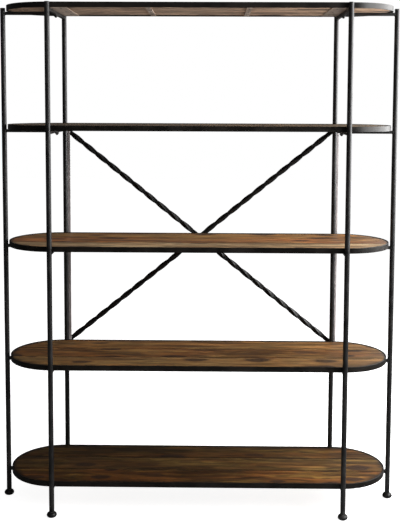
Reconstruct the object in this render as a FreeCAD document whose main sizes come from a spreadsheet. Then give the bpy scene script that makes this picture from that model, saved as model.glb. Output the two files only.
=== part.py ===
"""Free-standing shelving unit: five round-ended plank shelves in iron rims, six posts and a rear cross brace.

Millimetres. +X to the right, +Y to the rear, +Z up. Shelf 1 is the top one.
The origin is on the floor under the middle of the shelves.
"""
import FreeCAD, Part
import math
import os

import Sketcher

Vector = FreeCAD.Vector

# Driving dimensions: name, millimetres (or a count), what it measures
SIZES = [
    ("shelf_pitch", 445, "from one shelf to the next"),
    ("bottom_rim_z", 112, "underside of the lowest rim above the floor"),
    ("rim_radius", 185, "outer radius of a rim's round end, half the rim's depth"),
    ("rim_half_straight", 545, "half the length of a rim's straight side"),
    ("rim_height", 20, "height of the rim's flat bar"),
    ("rim_thickness", 4, "thickness of the rim's flat bar"),
    ("rim_lip", 1.5, "how far the rim stands above the planks"),
    ("post_diameter", 19, "outside of the post tube"),
    ("post_wall", 1.6, "wall of the post tube"),
    ("weld_gap", 0.2, "root gap of a welded joint"),
    ("cap_thickness", 2, "disc that closes the top of a post"),
    ("cap_edge", 0.8, "chamfer round a cap"),
    ("end_post_drop", 6, "top of an end post below the top of the rim"),
    ("end_post_gap", 8, "from the end of a rim to the face of its end post"),
    ("plank_thickness", 14, "thickness of the boards"),
    ("plank_seam", 0.8, "gap between two boards"),
    ("plank_fit", 0.5, "gap between the boards and the rim"),
    ("strap_width", 20, "iron strap under the boards"),
    ("strap_thickness", 3, "thickness of the straps and of the bolt plates"),
    ("strap_spread", 185, "middle of a strap from the middle of the shelf"),
    ("plate_width", 76, "bolt plate above a cross bar"),
    ("plate_inset", 24, "middle of a bolt plate, inwards from the posts"),
    ("plate_screw_inset", 40, "wood screws of a bolt plate, inwards from the posts"),
    ("cross_bar_side", 12, "side of the square cross bars and end bars"),
    ("shelf_bolt_diameter", 8, "thread of the bolts under the cross bars"),
    ("shelf_bolt_head", 13, "width across the flats of their heads"),
    ("shelf_bolt_head_height", 5.3, "height of their heads"),
    ("shelf_bolt_dome", 11, "diameter of the dome below a head"),
    ("shelf_bolt_dome_height", 5, "height of the dome"),
    ("bolt_short", 0.3, "end of a bolt below the boards"),
    ("screw_diameter", 4, "wood screws"),
    ("screw_head", 8, "diameter of their heads"),
    ("screw_head_height", 1.3, "height of their heads"),
    ("screw_depth", 10, "depth of the screws in the boards"),
    ("thread_clearance", 0.05, "radial clearance in a tapped or pilot hole"),
    ("bolt_clearance", 0.2, "radial clearance in a drilled hole"),
    ("bar_side", 16, "side of the twisted square bars"),
    ("bar_quarter_turns", 10, "quarter turns in each half of a bar"),
    ("bar_plain_end", 48, "plain length at each end of a bar"),
    ("bar_plain_middle", 60, "plain length where the bars cross"),
    ("bar_overrun", 14, "end of a bar past its bolt"),
    ("brace_drop", 5, "bolts of the brace inside the shelf pitch"),
    ("lap_play", 0.1, "clearance on each side of the halved joint"),
    ("upright_width", 24, "flat upright of the brace"),
    ("upright_thickness", 5, "thickness of the upright"),
    ("upright_overrun", 14, "end of an upright past its bolt"),
    ("upright_offset", 6, "middle of an upright to the right of the middle of its post"),
    ("brace_bolt_diameter", 6, "thread of the bolts through the brace"),
    ("brace_bolt_head", 10, "width across the flats of their heads"),
    ("brace_bolt_head_height", 4, "height of their heads"),
    ("brace_bolt_grip", 6, "length of these bolts past the outside of the post"),
    ("rivet_diameter", 6, "rivet where the bars cross"),
    ("rivet_head", 12, "diameter of its domed heads"),
    ("rivet_head_height", 3, "height of its domed heads"),
    ("foot_diameter", 38, "widest part of a foot"),
    ("foot_base_diameter", 22, "where a foot meets the floor"),
    ("foot_neck_diameter", 21, "top of a foot"),
    ("foot_height", 19, "foot without its stud"),
    ("foot_waist_z", 9, "height of the widest part"),
    ("foot_lower_radius", 10, "roundness below the widest part"),
    ("foot_upper_radius", 12, "roundness above the widest part"),
    ("stud_diameter", 8, "threaded stud of a foot"),
    ("stud_grip", 12, "stud left in its insert when the foot is screwed out"),
    ("foot_travel", 12, "how far a foot screws out"),
    ("foot_play", 0.3, "gap above a foot that is screwed home"),
    ("insert_flange", 2, "flange of the threaded insert under the post"),
    ("insert_depth", 30, "insert inside the post"),
    ("insert_fit", 0.05, "radial gap between the insert and the post"),
]

SHELVES = (1, 2, 3, 4, 5)
PLANKS = (("rear", 1), ("middle", 0), ("front", -1))
PLANK_COUNT = len(PLANKS)
SIDES = (("left", -1), ("right", 1))
ENDS = (("front", -1), ("rear", 1))
BRACED_SHELF = 3
WHOLE_TURN = 360

HALF_TURN = FreeCAD.Rotation(Vector(0, 0, 1), 180)
AGAINST_Y = FreeCAD.Rotation(Vector(1, 0, 0), 90)

doc = FreeCAD.newDocument("ShelvingUnit")
sheet = doc.addObject("Spreadsheet::Sheet", "Sizes")
for row, (alias, value, meaning) in enumerate(SIZES, start=1):
    sheet.set(f"A{row}", alias)
    sheet.set(f"B{row}", str(value))
    sheet.setAlias(f"B{row}", alias)
    sheet.set(f"C{row}", meaning)
doc.recompute()

# Places worked out from the driving dimensions, as expressions
POST_R = "(Sizes.post_diameter / 2)"
POST_BORE_R = f"({POST_R} - Sizes.post_wall)"
POST_X = "Sizes.rim_half_straight"
POST_Y = f"(Sizes.rim_radius + {POST_R} + Sizes.weld_gap)"
RIM_END_X = "(Sizes.rim_half_straight + Sizes.rim_radius)"
END_POST_X = f"({RIM_END_X} + Sizes.end_post_gap + {POST_R})"
POST_BOTTOM = "(Sizes.foot_height + Sizes.foot_play + Sizes.insert_flange)"
SHELF_1_Z = f"(Sizes.bottom_rim_z + {len(SHELVES) - 1} * Sizes.shelf_pitch)"
SIDE_POST_TOP = f"({SHELF_1_Z} + Sizes.rim_height - Sizes.cap_thickness)"
END_POST_TOP = f"({SIDE_POST_TOP} - Sizes.end_post_drop)"
INSIDE_R = "(Sizes.rim_radius - Sizes.rim_thickness - Sizes.plank_fit)"
PLANK_TOP = "(Sizes.rim_height - Sizes.rim_lip)"
PLANK_BOTTOM = f"({PLANK_TOP} - Sizes.plank_thickness)"
STRAP_BOTTOM = f"({PLANK_BOTTOM} - Sizes.strap_thickness)"
PLANK_WIDTH = f"((2 * {INSIDE_R} - {PLANK_COUNT - 1} * Sizes.plank_seam) / {PLANK_COUNT})"
PLANK_STEP = f"({PLANK_WIDTH} + Sizes.plank_seam)"
PLATE_X = f"({POST_X} - Sizes.plate_inset)"
PLATE_SCREW_X = f"({POST_X} - Sizes.plate_screw_inset)"
CROSS_BAR_BOTTOM = "(-Sizes.cross_bar_side)"
POST_BACK = f"({POST_Y} + {POST_R})"
UPRIGHT_Y = f"({POST_BACK} + Sizes.weld_gap)"
BAR_FRONT_Y = f"({UPRIGHT_Y} + Sizes.upright_thickness)"
BAR_Y = f"({BAR_FRONT_Y} + Sizes.bar_side / 2)"
BAR_BACK_Y = f"({BAR_FRONT_Y} + Sizes.bar_side)"
BRACE_RISE = "(Sizes.shelf_pitch - Sizes.brace_drop)"
STUD_LENGTH = "(Sizes.foot_play + Sizes.insert_flange + Sizes.foot_travel + Sizes.stud_grip)"


def number(expression):
    """Value of an expression, for the first guess of a sketch and for shapes made point by point."""
    return float(sheet.evalExpression(expression))


def shelf_z(shelf):
    """Underside of a shelf's rim."""
    return f"(Sizes.bottom_rim_z + {len(SHELVES) - shelf} * Sizes.shelf_pitch)"


def place(piece, x="0", y="0", z="0", turn=None):
    if turn is not None:
        piece.Placement = FreeCAD.Placement(Vector(), turn)
    for axis, expression in zip("xyz", (x, y, z)):
        piece.setExpression(f"Placement.Base.{axis}", expression)
    return piece


def bind(piece, **sizes):
    for size, expression in sizes.items():
        piece.setExpression(size, expression)
    return piece


def cylinder(label, radius, height):
    return bind(doc.addObject("Part::Cylinder", label), Radius=radius, Height=height)


def block(label, length, width, height):
    return bind(doc.addObject("Part::Box", label), Length=length, Width=width, Height=height)


def hexagon(label, across_flats, height):
    """Head of a bolt: a prism has six sides unless it is given another count."""
    prism = doc.addObject("Part::Prism", label)
    return bind(prism, Circumradius=f"{across_flats} / sqrt(3)", Height=height)


def combine(kind, label, base, tool):
    piece = doc.addObject(kind, label)
    piece.Base = base
    piece.Tool = tool
    return piece


def group(label, members):
    compound = doc.addObject("Part::Compound", label)
    compound.Links = members
    return compound


def copies(label, master, spots):
    """One group of copies of a master piece, each at (x, y, z, turn)."""
    members = []
    for index, (x, y, z, turn) in enumerate(spots, start=1):
        link = doc.addObject("App::Link", f"{label}_{index}")
        link.LinkedObject = master
        members.append(place(link, x, y, z, turn))
    return group(label, members)


def body_sketch(label, plane_role):
    body = doc.addObject("PartDesign::Body", label)
    sketch = body.newObject("Sketcher::SketchObject", label + "_sketch")
    plane = next(item for item in body.Origin.OriginFeatures if item.Role == plane_role)
    sketch.AttachmentSupport = [(plane, "")]
    sketch.MapMode = "FlatFace"
    return body, sketch


def bound(sketch, expression, kind, *geometry):
    """A dimension of a sketch that follows an expression."""
    index = sketch.addConstraint(Sketcher.Constraint(kind, *geometry, number(expression)))
    sketch.setExpression(f"Constraints[{index}]", expression)


def slot_loop(sketch, half_length, radius):
    """Closed straight-sided oval about the origin: two lines joined by two half circles."""
    length, bend = number(half_length), number(radius)
    up, right = Vector(0, 0, 1), Vector(length, 0, 0)
    quarter = math.pi / 2
    top = sketch.addGeometry(Part.LineSegment(Vector(-length, bend, 0), Vector(length, bend, 0)))
    east = sketch.addGeometry(Part.ArcOfCircle(Part.Circle(right, up, bend), -quarter, quarter))
    base = sketch.addGeometry(Part.LineSegment(Vector(length, -bend, 0), Vector(-length, -bend, 0)))
    west = sketch.addGeometry(Part.ArcOfCircle(Part.Circle(-right, up, bend), quarter, 3 * quarter))
    for first, first_end, second, second_end in ((top, 2, east, 2), (east, 1, base, 1),
                                                 (base, 2, west, 2), (west, 1, top, 1)):
        sketch.addConstraint(Sketcher.Constraint("Tangent", first, first_end, second, second_end))
    sketch.addConstraint(Sketcher.Constraint("Horizontal", top))
    sketch.addConstraint(Sketcher.Constraint("Horizontal", base))
    sketch.addConstraint(Sketcher.Constraint("PointOnObject", east, 3, -1))
    bound(sketch, radius, "Radius", east)
    bound(sketch, half_length, "DistanceX", -1, 1, east, 3)
    bound(sketch, half_length, "DistanceX", west, 3, -1, 1)


def slot_body(label, height, radii, z):
    """Straight-sided oval slab, or a ring of it where two radii are given."""
    body, sketch = body_sketch(label, "XY_Plane")
    for radius in radii:
        slot_loop(sketch, "Sizes.rim_half_straight", radius)
    pad = body.newObject("PartDesign::Pad", label + "_pad")
    pad.Profile = sketch
    bind(pad, Length=height)
    return place(body, z=z)


def turned(label, corners):
    """Turned piece: a closed half outline of (radius, height) corners about Z.

    A third value in a corner is the radius of the rounded stretch from it to the next corner.
    """
    body, sketch = body_sketch(label, "XZ_Plane")
    spots = [Vector(number(corner[0]), number(corner[1]), 0) for corner in corners]
    for index, corner in enumerate(corners):
        start, end = spots[index], spots[(index + 1) % len(spots)]
        if len(corner) == 3:
            bend = number(corner[2])
            chord = end - start
            reach = math.sqrt(bend ** 2 - (chord.Length / 2) ** 2)
            centre = (start + end) / 2 + Vector(-chord.y, chord.x, 0).normalize() * reach
            angles = [math.atan2(spot.y - centre.y, spot.x - centre.x) for spot in (start, end)]
            sketch.addGeometry(Part.ArcOfCircle(Part.Circle(centre, Vector(0, 0, 1), bend), *angles))
        else:
            sketch.addGeometry(Part.LineSegment(start, end))
    for index, (corner, spot) in enumerate(zip(corners, spots)):
        previous = (index - 1) % len(spots)
        sketch.addConstraint(Sketcher.Constraint("Coincident", previous, 2, index, 1))
        for kind, expression, value, axis in (("DistanceX", corner[0], spot.x, -2),
                                              ("DistanceY", corner[1], spot.y, -1)):
            if value == 0:
                sketch.addConstraint(Sketcher.Constraint("PointOnObject", index, 1, axis))
            else:
                bound(sketch, expression, kind, -1, 1, index, 1)
        if len(corner) == 3:
            bound(sketch, corner[2], "Radius", index)
    revolution = body.newObject("PartDesign::Revolution", label + "_revolution")
    revolution.Profile = sketch
    revolution.ReferenceAxis = (sketch, ["V_Axis"])
    revolution.Angle = WHOLE_TURN
    return body


def dome_radius(radius, rise):
    """Sphere about the axis that rises by rise inside a circle of the given radius."""
    return f"(({radius})^2 + ({rise})^2) / (2 * ({rise}))"


def screw_spots(shelf):
    """Wood screws of one shelf: through each strap and bolt plate into the middle of each board."""
    spots = []
    z = f"{shelf_z(shelf)} + {STRAP_BOTTOM}"
    for x in ("Sizes.strap_spread", PLATE_SCREW_X):
        for _, side in SIDES:
            for _, row in PLANKS:
                spots.append((f"{side} * {x}", f"{row} * {PLANK_STEP}", z, None))
    return spots


def shelf_bolt_spots(shelf):
    z = f"{shelf_z(shelf)} + {CROSS_BAR_BOTTOM}"
    return [(f"{side} * {POST_X}", "0", z, None) for _, side in SIDES]


def brace_bolt_spots(y):
    """The four corners of the brace, with +Z of the piece turned to the front."""
    return [(f"{side} * {POST_X}", y, f"{shelf_z(BRACED_SHELF)} + {rise} * {BRACE_RISE}", AGAINST_Y)
            for _, side in SIDES for rise in (-1, 1)]


def make_posts():
    """Six tubes. Front and rear posts stand against the sides of the rims, and the rear ones are drilled."""
    nodes = []
    brace_hole = cylinder("brace_hole", "Sizes.brace_bolt_diameter / 2 + Sizes.thread_clearance",
                          f"Sizes.bar_side + Sizes.upright_thickness + Sizes.weld_gap + {POST_R}")
    brace_holes = copies("brace_holes", brace_hole, brace_bolt_spots(BAR_BACK_Y))

    def tube(label, x, y, top):
        length = f"{top} - {POST_BOTTOM}"
        outside = place(cylinder(label + "_outside", POST_R, length), x, y, POST_BOTTOM)
        bore = place(cylinder(label + "_bore", POST_BORE_R, length), x, y, POST_BOTTOM)
        return combine("Part::Cut", label, outside, bore)

    for side_name, side in SIDES:
        x = f"{side} * {POST_X}"
        nodes.append(tube(f"front_{side_name}_post", x, f"-{POST_Y}", SIDE_POST_TOP))
        rear = tube(f"rear_{side_name}_tube", x, POST_Y, SIDE_POST_TOP)
        nodes.append(combine("Part::Cut", f"rear_{side_name}_post", rear, brace_holes))
        nodes.append(tube(f"end_{side_name}_post", f"{side} * {END_POST_X}", "0", END_POST_TOP))
    return nodes


def post_spots(side_z, end_z):
    spots = []
    for _, side in SIDES:
        for _, end in ENDS:
            spots.append((f"{side} * {POST_X}", f"{end} * {POST_Y}", side_z, None))
        spots.append((f"{side} * {END_POST_X}", "0", end_z, None))
    return spots


def make_caps():
    chamfer_r = f"{POST_R} - Sizes.cap_edge"
    chamfer_z = "Sizes.cap_thickness - Sizes.cap_edge"
    cap = turned("cap", [("0", "0"), (POST_R, "0"), (POST_R, chamfer_z),
                         (chamfer_r, "Sizes.cap_thickness"), ("0", "Sizes.cap_thickness")])
    return [copies("post_caps", cap, post_spots(SIDE_POST_TOP, END_POST_TOP))]


def make_shelf(shelf):
    """Rim, three boards, straps and bolt plates of one shelf."""
    z = shelf_z(shelf)
    rim = slot_body(f"shelf_{shelf}_rim", "Sizes.rim_height",
                    ("Sizes.rim_radius", "Sizes.rim_radius - Sizes.rim_thickness"), z)
    nodes = [rim]
    inside = slot_body(f"shelf_{shelf}_inside", f"{PLANK_TOP} - {STRAP_BOTTOM}",
                       (INSIDE_R,), f"{z} + {STRAP_BOTTOM}")
    screw_hole = cylinder(f"shelf_{shelf}_screw_hole", "Sizes.screw_diameter / 2 + Sizes.thread_clearance",
                          "Sizes.strap_thickness + Sizes.screw_depth")
    screw_holes = copies(f"shelf_{shelf}_screw_holes", screw_hole, screw_spots(shelf))
    bolt_hole = cylinder(f"shelf_{shelf}_bolt_hole", "Sizes.shelf_bolt_diameter / 2 + Sizes.thread_clearance",
                         f"{PLANK_BOTTOM} - {CROSS_BAR_BOTTOM}")
    bolt_holes = copies(f"shelf_{shelf}_bolt_holes", bolt_hole, shelf_bolt_spots(shelf))
    for row_name, row in PLANKS:
        board = block(f"shelf_{shelf}_{row_name}_board", f"2 * {RIM_END_X}",
                      PLANK_WIDTH, "Sizes.plank_thickness")
        place(board, f"-{RIM_END_X}", f"{row} * {PLANK_STEP} - {PLANK_WIDTH} / 2", f"{z} + {PLANK_BOTTOM}")
        round_ended = combine("Part::Common", f"shelf_{shelf}_{row_name}_round", board, inside)
        nodes.append(combine("Part::Cut", f"shelf_{shelf}_{row_name}_plank", round_ended, screw_holes))
    strips = []
    strap = ("strap", "Sizes.strap_width", "Sizes.strap_spread")
    plate = ("plate", "Sizes.plate_width", PLATE_X)
    for name, width, x in (strap, plate):
        for side_name, side in SIDES:
            strip = block(f"shelf_{shelf}_{side_name}_{name}", width, f"2 * {INSIDE_R}",
                          "Sizes.strap_thickness")
            place(strip, f"{side} * {x} - {width} / 2", f"-{INSIDE_R}", f"{z} + {STRAP_BOTTOM}")
            strips.append(strip)
    strip_set = group(f"shelf_{shelf}_strip_set", strips)
    trimmed = combine("Part::Common", f"shelf_{shelf}_strips", strip_set, inside)
    holes = group(f"shelf_{shelf}_strip_holes", [screw_holes, bolt_holes])
    nodes.append(combine("Part::Cut", f"shelf_{shelf}_straps", trimmed, holes))
    return nodes


def make_cross_bars():
    """Square bars welded between the front and rear posts, under the rims."""
    nodes = []
    for side_name, side in SIDES:
        x = f"{side} * {POST_X}"
        for shelf in SHELVES:
            label = f"{side_name}_cross_bar_{shelf}"
            z = f"{shelf_z(shelf)} + {CROSS_BAR_BOTTOM}"
            bar = block(label + "_blank", "Sizes.cross_bar_side", f"2 * {POST_Y}", "Sizes.cross_bar_side")
            place(bar, f"{x} - Sizes.cross_bar_side / 2", f"-{POST_Y}", z)
            hole = cylinder(label + "_hole", "Sizes.shelf_bolt_diameter / 2 + Sizes.bolt_clearance",
                            "Sizes.cross_bar_side")
            cuts = [place(hole, x, "0", z)]
            for end_name, end in ENDS:
                cope = cylinder(f"{label}_{end_name}_cope", f"{POST_R} + Sizes.weld_gap",
                                "Sizes.cross_bar_side")
                cuts.append(place(cope, x, f"{end} * {POST_Y}", z))
            nodes.append(combine("Part::Cut", label, bar, group(label + "_cuts", cuts)))
    return nodes


def make_end_bars():
    """Square bars welded between the cross bars and the end posts, under the middle of the shelves."""
    length = f"({END_POST_X} - {POST_X} - Sizes.cross_bar_side / 2 - Sizes.weld_gap)"
    blank = block("end_bar_blank", length, "Sizes.cross_bar_side", "Sizes.cross_bar_side")
    place(blank, y="-Sizes.cross_bar_side / 2")
    cope = cylinder("end_bar_cope", f"{POST_R} + Sizes.weld_gap", "Sizes.cross_bar_side")
    end_bar = combine("Part::Cut", "end_bar", blank, place(cope, x=length))
    spots = []
    for shelf in SHELVES:
        z = f"{shelf_z(shelf)} + {CROSS_BAR_BOTTOM}"
        for _, side in SIDES:
            x = f"{side} * ({POST_X} + Sizes.cross_bar_side / 2 + Sizes.weld_gap)"
            spots.append((x, "0", z, None if side > 0 else HALF_TURN))
    return [copies("end_bars", end_bar, spots)]


def make_fasteners():
    """Groups of like fasteners. Each master points up, with its head below z = 0."""
    shank = cylinder("shelf_bolt_shank", "Sizes.shelf_bolt_diameter / 2",
                     f"{PLANK_BOTTOM} - {CROSS_BAR_BOTTOM} - Sizes.bolt_short")
    head = place(hexagon("shelf_bolt_hex", "Sizes.shelf_bolt_head", "Sizes.shelf_bolt_head_height"),
                 z="-Sizes.shelf_bolt_head_height")
    dome_r, dome_z = "Sizes.shelf_bolt_dome / 2", "-Sizes.shelf_bolt_head_height"
    dome = turned("shelf_bolt_dome", [("0", f"{dome_z} - Sizes.shelf_bolt_dome_height",
                                       dome_radius(dome_r, "Sizes.shelf_bolt_dome_height")),
                                      (dome_r, dome_z), ("0", dome_z)])
    domed_head = combine("Part::Fuse", "shelf_bolt_head", head, dome)
    shelf_bolt = combine("Part::Fuse", "shelf_bolt", domed_head, shank)
    shelf_bolts = copies("shelf_bolts", shelf_bolt,
                         [spot for shelf in SHELVES for spot in shelf_bolt_spots(shelf)])

    screw_r, head_r, head_z = "Sizes.screw_diameter / 2", "Sizes.screw_head / 2", "-Sizes.screw_head_height"
    tip = "(Sizes.strap_thickness + Sizes.screw_depth)"
    screw = turned("screw", [("0", head_z), (head_r, head_z), (head_r, "0"), (screw_r, "0"),
                             (screw_r, f"{tip} - Sizes.screw_diameter"), ("0", tip)])
    plank_screws = copies("plank_screws", screw, [spot for shelf in SHELVES for spot in screw_spots(shelf)])

    shank = cylinder("brace_bolt_shank", "Sizes.brace_bolt_diameter / 2",
                     "Sizes.bar_side + Sizes.upright_thickness + Sizes.weld_gap + Sizes.brace_bolt_grip")
    head = place(hexagon("brace_bolt_hex", "Sizes.brace_bolt_head", "Sizes.brace_bolt_head_height"),
                 z="-Sizes.brace_bolt_head_height")
    brace_bolt = combine("Part::Fuse", "brace_bolt", head, shank)
    brace_bolts = copies("brace_bolts", brace_bolt, brace_bolt_spots(BAR_BACK_Y))
    return [shelf_bolts, plank_screws, brace_bolts]


def make_uprights():
    """Flat bars behind the rear posts, both set a little to the right and drilled in line with the posts."""
    nodes = []
    height = f"2 * ({BRACE_RISE} + Sizes.upright_overrun)"
    for side_name, side in SIDES:
        strip = block(f"{side_name}_upright_blank", "Sizes.upright_width", "Sizes.upright_thickness", height)
        place(strip, f"{side} * {POST_X} + Sizes.upright_offset - Sizes.upright_width / 2", UPRIGHT_Y,
              f"{shelf_z(BRACED_SHELF)} - {height} / 2")
        hole = cylinder(f"{side_name}_upright_hole", "Sizes.brace_bolt_diameter / 2 + Sizes.bolt_clearance",
                        "Sizes.upright_thickness")
        holes = copies(f"{side_name}_upright_holes", hole, brace_bolt_spots(BAR_FRONT_Y))
        nodes.append(combine("Part::Cut", f"{side_name}_brace_upright", strip, holes))
    return nodes


def twisted_length(side, length, quarter_turns):
    """Square bar along Z whose section turns steadily, swept with a helix to lead it."""
    half = side / 2
    corners = [Vector(-half, -half, 0), Vector(half, -half, 0), Vector(half, half, 0), Vector(-half, half, 0)]
    sweep = Part.BRepOffsetAPI.MakePipeShell(Part.Wire(Part.makeLine(Vector(), Vector(0, 0, length))))
    helix = Part.makeHelix(4 * length / quarter_turns, length, side)
    sweep.setAuxiliarySpine(Part.Wire(helix.Edges), True, 0)
    sweep.add(Part.makePolygon(corners + corners[:1]))
    sweep.build()
    sweep.makeSolid()
    return sweep.shape()


def make_brace_bar(label, lean, lap_half):
    """Twisted bar with plain ends and a plain middle, halved where it crosses the other bar.

    lean is 1 for the bar that rises to the right. lap_half is 1 where the rear half is cut away.
    """
    side = number("Sizes.bar_side")
    plain_end, plain_middle = number("Sizes.bar_plain_end"), number("Sizes.bar_plain_middle")
    run, rise = number(POST_X), number(BRACE_RISE)
    bolt_at = math.hypot(run, rise)
    half_length = bolt_at + number("Sizes.bar_overrun")
    twist = half_length - plain_end - plain_middle / 2
    turns = number("Sizes.bar_quarter_turns")

    def plain(start, length):
        return Part.makeBox(side, side, length, Vector(-side / 2, -side / 2, start))

    lower = twisted_length(side, twist, turns)
    lower.translate(Vector(0, 0, -half_length + plain_end))
    upper = twisted_length(side, twist, turns)
    upper.translate(Vector(0, 0, plain_middle / 2))
    bar = plain(-half_length, plain_end).multiFuse(
        [lower, plain(-plain_middle / 2, plain_middle), upper, plain(half_length - plain_end, plain_end)])
    bar = bar.removeSplitter()

    crossing = 2 * math.degrees(math.atan2(run, rise))
    slot = side + 2 * number("Sizes.lap_play")
    notch = Part.makeBox(slot, side, 4 * side, Vector(-slot / 2, 0 if lap_half > 0 else -side, -2 * side))
    notch.rotate(Vector(), Vector(0, 1, 0), -lean * crossing)
    bolt_r = number("Sizes.brace_bolt_diameter / 2 + Sizes.bolt_clearance")
    rivet_r = number("Sizes.rivet_diameter / 2 + Sizes.thread_clearance")
    holes = [Part.makeCylinder(radius, 2 * side, Vector(0, -side, z), Vector(0, 1, 0))
             for radius, z in ((bolt_r, -bolt_at), (bolt_r, bolt_at), (rivet_r, 0))]
    bar = bar.cut([notch] + holes)
    feature = doc.addObject("Part::Feature", label)
    feature.Shape = bar.Solids[0]
    tilt = FreeCAD.Rotation(Vector(0, 1, 0), lean * math.degrees(math.atan2(run, rise)))
    return place(feature, y=BAR_Y, z=shelf_z(BRACED_SHELF), turn=tilt)


def make_rivet():
    head_r, shank_r = "Sizes.rivet_head / 2", "Sizes.rivet_diameter / 2"
    half, crown = "Sizes.bar_side / 2", "(Sizes.bar_side / 2 + Sizes.rivet_head_height)"
    bend = dome_radius(head_r, "Sizes.rivet_head_height")
    rivet = turned("brace_rivet", [("0", f"-{crown}", bend), (head_r, f"-{half}"), (shank_r, f"-{half}"),
                                   (shank_r, half), (head_r, half, bend), ("0", crown)])
    return place(rivet, y=BAR_Y, z=shelf_z(BRACED_SHELF), turn=AGAINST_Y)


def make_feet():
    """Turned feet whose studs screw into inserts in the posts."""
    stud_r = "Sizes.stud_diameter / 2"
    top = "Sizes.foot_height"
    outline = [("0", "0"), ("Sizes.foot_base_diameter / 2", "0", "Sizes.foot_lower_radius"),
               ("Sizes.foot_diameter / 2", "Sizes.foot_waist_z", "Sizes.foot_upper_radius"),
               ("Sizes.foot_neck_diameter / 2", top), (stud_r, top), (stud_r, f"{top} + {STUD_LENGTH}"),
               ("0", f"{top} + {STUD_LENGTH}")]
    nodes = []
    for side_name, side in SIDES:
        for end_name, end in ENDS:
            foot = turned(f"{end_name}_{side_name}_foot", outline)
            nodes.append(place(foot, f"{side} * {POST_X}", f"{end} * {POST_Y}"))
        foot = turned(f"end_{side_name}_foot", outline)
        nodes.append(place(foot, f"{side} * {END_POST_X}"))
    thread_r = f"({stud_r} + Sizes.thread_clearance)"
    sleeve_r = f"({POST_BORE_R} - Sizes.insert_fit)"
    depth = "Sizes.insert_depth"
    flange = "-Sizes.insert_flange"
    insert = turned("insert", [(thread_r, flange), (POST_R, flange), (POST_R, "0"),
                               (sleeve_r, "0"), (sleeve_r, depth), (thread_r, depth)])
    nodes.append(copies("foot_inserts", insert, post_spots(POST_BOTTOM, POST_BOTTOM)))
    return nodes


def check_and_write(nodes):
    doc.recompute()
    for item in doc.Objects:
        if "Invalid" in item.State or "Error" in item.State:
            raise RuntimeError(f"{item.Label} failed: {item.State}")
    for node in nodes:
        if node.Shape.isNull() or not node.Shape.isValid() or not node.Shape.Solids:
            raise RuntimeError(f"{node.Label} has no valid solid")
    os.makedirs("parts", exist_ok=True)
    for node in nodes:
        node.Shape.exportStep(f"parts/{node.Label}.step")
        print(node.Label, len(node.Shape.Solids), "solids,", round(node.Shape.Volume / 1000, 1), "cm3")


nodes = make_posts() + make_caps()
for shelf in SHELVES:
    nodes += make_shelf(shelf)
nodes += make_cross_bars() + make_end_bars() + make_fasteners() + make_uprights()
nodes.append(make_brace_bar("rising_brace_bar", 1, 1))
nodes.append(make_brace_bar("falling_brace_bar", -1, -1))
nodes.append(make_rivet())
nodes += make_feet()
check_and_write(nodes)
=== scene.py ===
"""Looks of the shelving unit: stained boards in iron rims, welded posts, a twisted-bar brace and screw feet.

Metres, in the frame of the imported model: +X to the right, +Y to the rear, +Z up. Shelf 1 is the top one.
"""

import math
import random

import bpy
from mathutils import Matrix, Vector, noise


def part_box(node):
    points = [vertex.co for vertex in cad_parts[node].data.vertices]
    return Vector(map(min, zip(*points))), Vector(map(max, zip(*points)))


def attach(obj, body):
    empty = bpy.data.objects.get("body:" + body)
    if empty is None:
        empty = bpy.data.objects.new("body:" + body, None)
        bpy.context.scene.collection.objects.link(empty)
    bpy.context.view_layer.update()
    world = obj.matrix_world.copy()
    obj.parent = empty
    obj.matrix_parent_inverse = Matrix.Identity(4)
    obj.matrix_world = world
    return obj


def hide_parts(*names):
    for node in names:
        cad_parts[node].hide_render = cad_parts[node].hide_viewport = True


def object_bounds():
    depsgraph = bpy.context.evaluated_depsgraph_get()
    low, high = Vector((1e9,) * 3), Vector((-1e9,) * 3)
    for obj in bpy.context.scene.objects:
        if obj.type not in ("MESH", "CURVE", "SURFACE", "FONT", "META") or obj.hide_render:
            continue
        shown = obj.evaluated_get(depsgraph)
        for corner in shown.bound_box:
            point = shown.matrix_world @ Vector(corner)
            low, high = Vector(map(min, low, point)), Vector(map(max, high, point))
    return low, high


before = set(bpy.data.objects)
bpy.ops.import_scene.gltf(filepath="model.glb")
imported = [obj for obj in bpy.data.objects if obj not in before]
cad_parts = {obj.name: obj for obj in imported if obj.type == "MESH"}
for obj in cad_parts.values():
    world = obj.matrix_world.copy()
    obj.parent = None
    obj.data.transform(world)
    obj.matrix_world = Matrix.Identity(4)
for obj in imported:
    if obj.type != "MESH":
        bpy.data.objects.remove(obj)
cad_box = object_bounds()

MM = 0.001
SHELVES = (1, 2, 3, 4, 5)
ROWS = ("rear", "middle", "front")
SIDES = (("left", -1), ("right", 1))
FRONT_AND_REAR = (-1, 1)
BRACE_BARS = ("rising_brace_bar", "falling_brace_bar")
BRACE_UPRIGHTS = ("left_brace_upright", "right_brace_upright")


# Places read from the frame


def middle_of(node):
    low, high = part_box(node)
    return (low + high) / 2


rim_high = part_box("shelf_1_rim")[1]
RIM_RADIUS = rim_high.y
RIM_HALF_STRAIGHT = rim_high.x - RIM_RADIUS
BOARD_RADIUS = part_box("shelf_1_rear_plank")[1].y
SEAM_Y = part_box("shelf_1_middle_plank")[1].y
POST_RADIUS = (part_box("front_left_post")[1].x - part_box("front_left_post")[0].x) / 2
POST_X = middle_of("front_right_post").x
POST_Y = middle_of("rear_right_post").y
END_POST_X = middle_of("end_right_post").x
FOOT_NAMES = [f"{end}_{side}_foot" for side, _ in SIDES for end in ("front", "rear", "end")]

RIM_THICKNESS = 4 * MM
RIM_EDGE = 0.7 * MM
BAR_EDGE = 0.8 * MM
STRAP_EDGE = 0.5 * MM
BOLT_EDGE = 0.5 * MM

BOARD_ARRIS = 2.2 * MM
BOARD_UNDER_ARRIS = 0.8 * MM
BOARD_SINK = 0.2 * MM
PLANE_WAVE = 0.22 * MM
PLANE_RIPPLE = 0.1 * MM
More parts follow.
